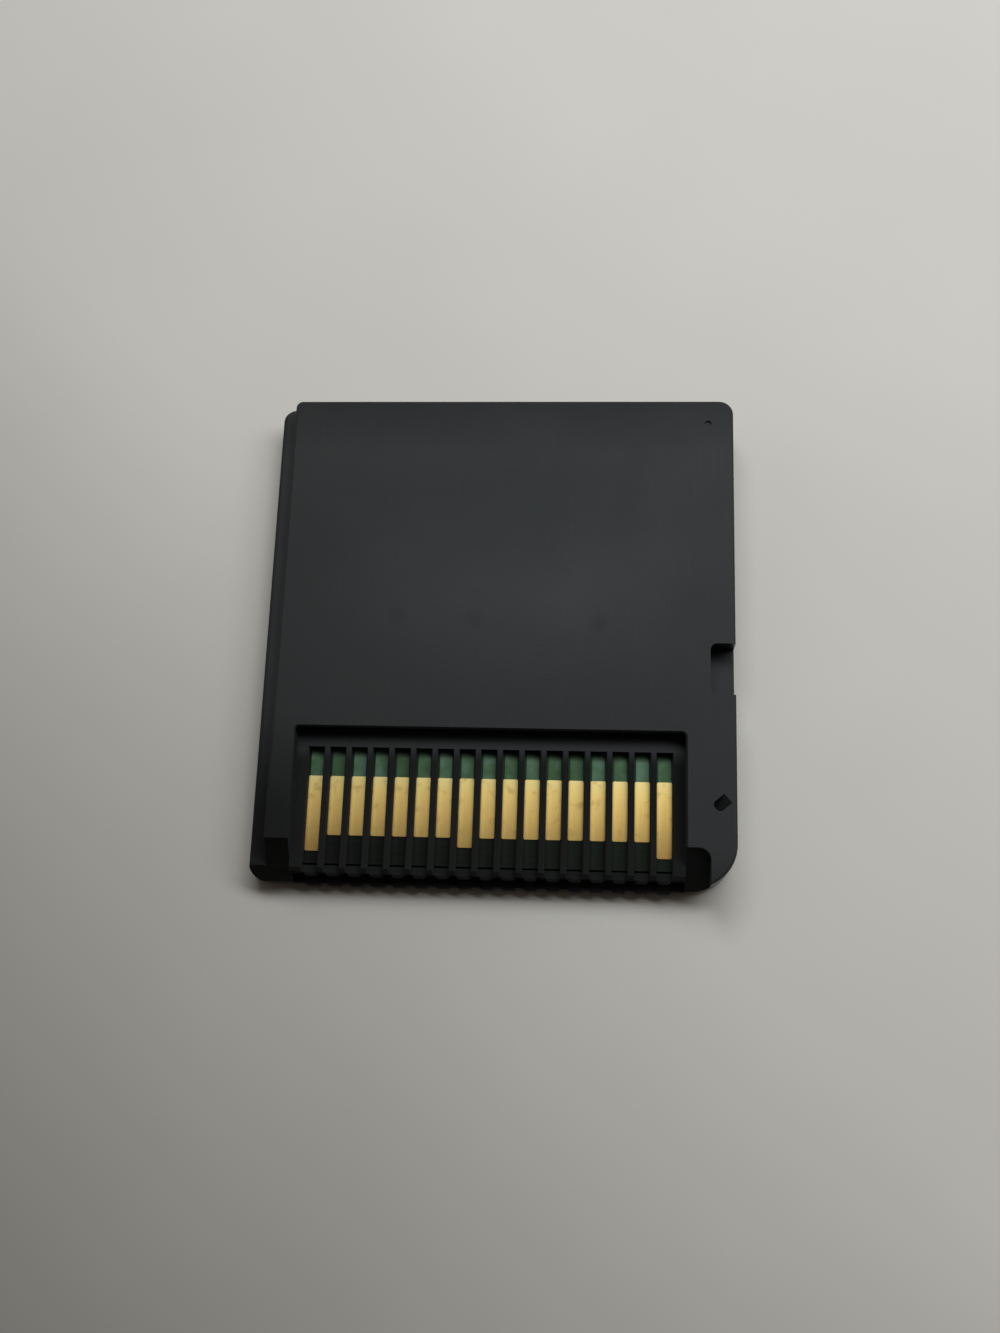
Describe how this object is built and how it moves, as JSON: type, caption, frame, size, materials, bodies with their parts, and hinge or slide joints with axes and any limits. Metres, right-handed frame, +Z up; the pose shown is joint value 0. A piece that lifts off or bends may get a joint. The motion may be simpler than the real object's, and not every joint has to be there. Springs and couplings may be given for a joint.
{
  "type": "game cartridge",
  "caption": "Thin rectangular game card with a row of recessed contacts behind moulded ribs, a keyed corner and a latch notch, for a handheld console's card slot.",
  "frame": {"origin": "on the front face, under the middle of the card's outline", "axes": "+X right as the back is seen, +Y away from the contact edge, +Z up out of the back"},
  "size_m": [0.033, 0.035, 0.0038],
  "materials": {
    "shell_plastic": "fine moulded texture",
    "board_laminate": "semi-gloss",
    "solder_mask": "gloss",
    "gold_plating": "plated, rubbed",
    "chip_epoxy": "matt",
    "tinned_metal": "dull tin",
    "capacitor_ceramic": "matt",
    "resistor_film": "glazed"
  },
  "bodies": {
    "root": {"capacitor_1": "capacitor_ceramic", "capacitor_2": "capacitor_ceramic", "capacitor_3": "capacitor_ceramic", "capacitor_ends": "tinned_metal", "circuit_board": "board_laminate", "contact_01": "gold_plating", "contact_02": "gold_plating", "contact_03": "gold_plating", "contact_04": "gold_plating", "contact_05": "gold_plating", "contact_06": "gold_plating", "contact_07": "gold_plating", "contact_08": "gold_plating", "contact_09": "gold_plating", "contact_10": "gold_plating", "contact_11": "gold_plating", "contact_12": "gold_plating", "contact_13": "gold_plating", "contact_14": "gold_plating", "contact_15": "gold_plating", "contact_16": "gold_plating", "contact_17": "gold_plating", "front_shell": "shell_plastic", "rear_shell": "shell_plastic", "resistor_1": "resistor_film", "resistor_2": "resistor_film", "resistor_ends": "tinned_metal", "rom_chip": "chip_epoxy", "rom_chip_leads": "tinned_metal", "save_chip": "chip_epoxy", "save_chip_leads": "tinned_metal", "signal_traces": "solder_mask"}
  },
  "joints": []
}
